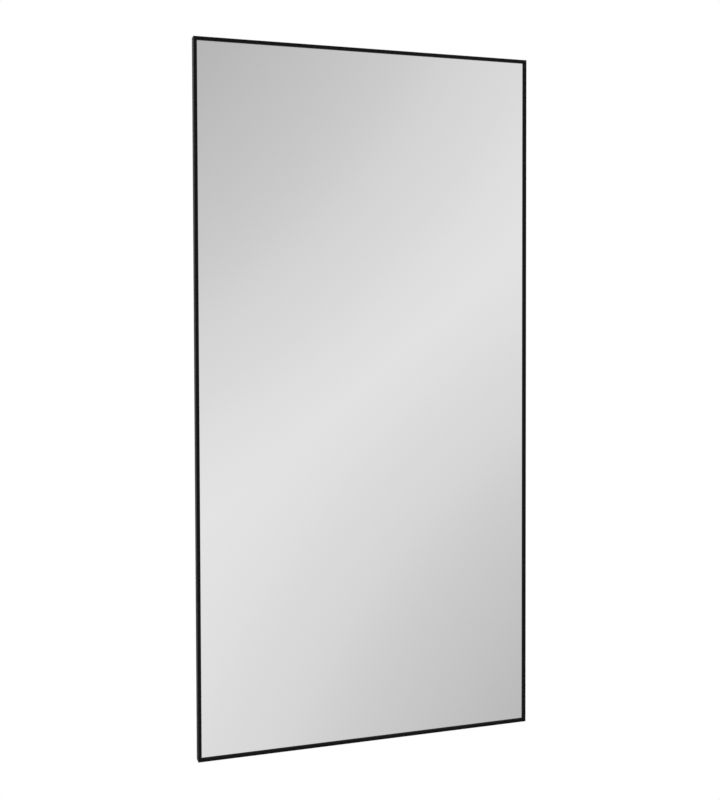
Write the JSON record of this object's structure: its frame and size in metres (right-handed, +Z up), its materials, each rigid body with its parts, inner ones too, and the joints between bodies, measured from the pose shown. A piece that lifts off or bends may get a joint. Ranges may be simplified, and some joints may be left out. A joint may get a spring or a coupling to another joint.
{
  "type": "pull out closet mirror",
  "caption": "Tall slim-framed rectangular mirror that pulls out of a closet on twin ball-bearing slides and swivels a quarter turn on a hinge post.",
  "frame": {"origin": "middle of the four mounting holes, on the mounting plane that lies against the closet's side panel", "axes": "+Z up, -Y the way the mirror faces at rest, +X the way it pulls out of the closet"},
  "size_m": [0.5, 0.0513, 1],
  "materials": {
    "black_frame": "black anodised, fine satin",
    "mirror": "float glass, silvered on the back",
    "film": "thin safety film",
    "board": "hardboard, black paper face",
    "zinc_steel": "zinc plated, rolled",
    "cage_steel": "cold rolled strip, bare",
    "ball_steel": "ground and polished balls",
    "screw_steel": "zinc plated, button heads",
    "anodised_bar": "clear anodised, extruded",
    "black_steel": "black powder coat, fine texture",
    "bronze": "sintered bronze, oiled",
    "white_nylon": "natural nylon",
    "black_nylon": "moulded nylon, fine grain",
    "magnet_nickel": "nickel plated magnet",
    "bumper_rubber": "moulded rubber"
  },
  "bodies": {
    "base": {"base_rail_upper": "black_steel", "base_rail_lower": "black_steel", "base_tie_front": "black_steel", "base_tie_rear": "black_steel", "slide_outer_upper": "zinc_steel", "slide_outer_lower": "zinc_steel", "slide_rivets": "screw_steel", "rear_bumper_upper": "bumper_rubber", "rear_bumper_lower": "bumper_rubber"},
    "outer_cages": {"outer_cage_upper": "cage_steel", "outer_cage_lower": "cage_steel", "outer_balls_upper": "ball_steel", "outer_balls_lower": "ball_steel"},
    "middle_members": {"slide_middle_upper": "zinc_steel", "slide_middle_lower": "zinc_steel"},
    "inner_cages": {"inner_cage_upper": "cage_steel", "inner_cage_lower": "cage_steel", "inner_balls_upper": "ball_steel", "inner_balls_lower": "ball_steel"},
    "carriage": {"slide_inner_upper": "zinc_steel", "slide_inner_lower": "zinc_steel", "leading_post": "black_steel", "rear_post": "black_steel", "pivot_block_upper": "zinc_steel", "pivot_block_lower": "zinc_steel", "pivot_bush_upper": "bronze", "pivot_bush_lower": "bronze", "thrust_washer_upper": "white_nylon", "thrust_washer_lower": "white_nylon", "stop_pins": "screw_steel", "carriage_screws": "screw_steel", "carriage_nuts": "zinc_steel", "rear_post_plugs": "black_nylon", "catch_housing": "black_nylon", "catch_magnets": "magnet_nickel", "catch_screws": "screw_steel"},
    "mirror_panel": {"frame_left": "black_frame", "frame_right": "black_frame", "frame_top": "black_frame", "frame_bottom": "black_frame", "mirror_glass": "mirror", "safety_film": "film", "backing_board": "board", "corner_plates": "zinc_steel", "corner_screws": "screw_steel", "cross_rail_upper": "anodised_bar", "cross_rail_middle": "anodised_bar", "cross_rail_lower": "anodised_bar", "cross_rail_screws": "screw_steel", "hinge_arm_upper": "black_steel", "hinge_arm_lower": "black_steel", "hinge_screws": "screw_steel", "pivot_pin_upper": "screw_steel", "pivot_pin_lower": "screw_steel", "strike_plate": "zinc_steel", "strike_screws": "screw_steel"}
  },
  "joints": [
    {"name": "pull_out", "type": "slide", "parent": "base", "child": "carriage", "axis": [1, 0, 0], "range_m": [0, 0.45]},
    {"name": "middle_travel", "type": "slide", "parent": "base", "child": "middle_members", "axis": [1, 0, 0], "range_m": [0, 0.225]},
    {"name": "outer_cage_travel", "type": "slide", "parent": "base", "child": "outer_cages", "axis": [1, 0, 0], "range_m": [0, 0.1125]},
    {"name": "inner_cage_travel", "type": "slide", "parent": "base", "child": "inner_cages", "axis": [1, 0, 0], "range_m": [0, 0.3375]},
    {"name": "swivel", "type": "hinge", "parent": "carriage", "child": "mirror_panel", "pos_m": [0.23, -0.0217, 0], "axis": [0, 0, 1], "range_deg": [0, 90]}
  ],
  "couplings": [
    {"joint": "middle_travel", "follows": "pull_out", "ratio": 0.5},
    {"joint": "outer_cage_travel", "follows": "pull_out", "ratio": 0.25},
    {"joint": "inner_cage_travel", "follows": "pull_out", "ratio": 0.75}
  ]
}
